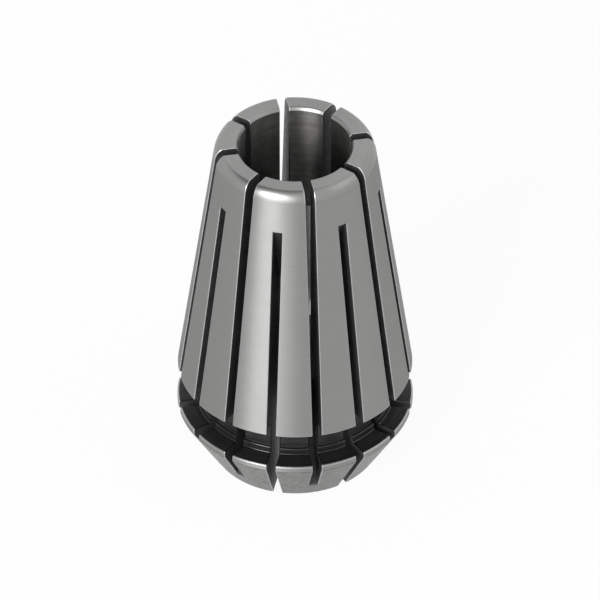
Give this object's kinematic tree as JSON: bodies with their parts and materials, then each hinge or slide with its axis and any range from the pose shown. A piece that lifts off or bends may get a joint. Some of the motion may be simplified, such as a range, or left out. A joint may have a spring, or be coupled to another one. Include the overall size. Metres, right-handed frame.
{
  "type": "er collet",
  "caption": "Slotted spring collet with a steep nose taper, an extraction groove, a long shallow taper and a straight bore that closes on a round shank.",
  "frame": {"origin": "centre of the front face, the flat face at the large end that the collet stands on", "axes": "+Z along the bore's axis from the front face to the small end, +X through the middle of a slot cut from the small end"},
  "size_m": [0.017, 0.017, 0.0275],
  "materials": {
    "hardened_ground_steel": "fine ground and lapped on the tapers, end faces and bore, dark in the groove and the saw slots"
  },
  "bodies": {
    "root": {"collet": "hardened_ground_steel"}
  },
  "joints": []
}
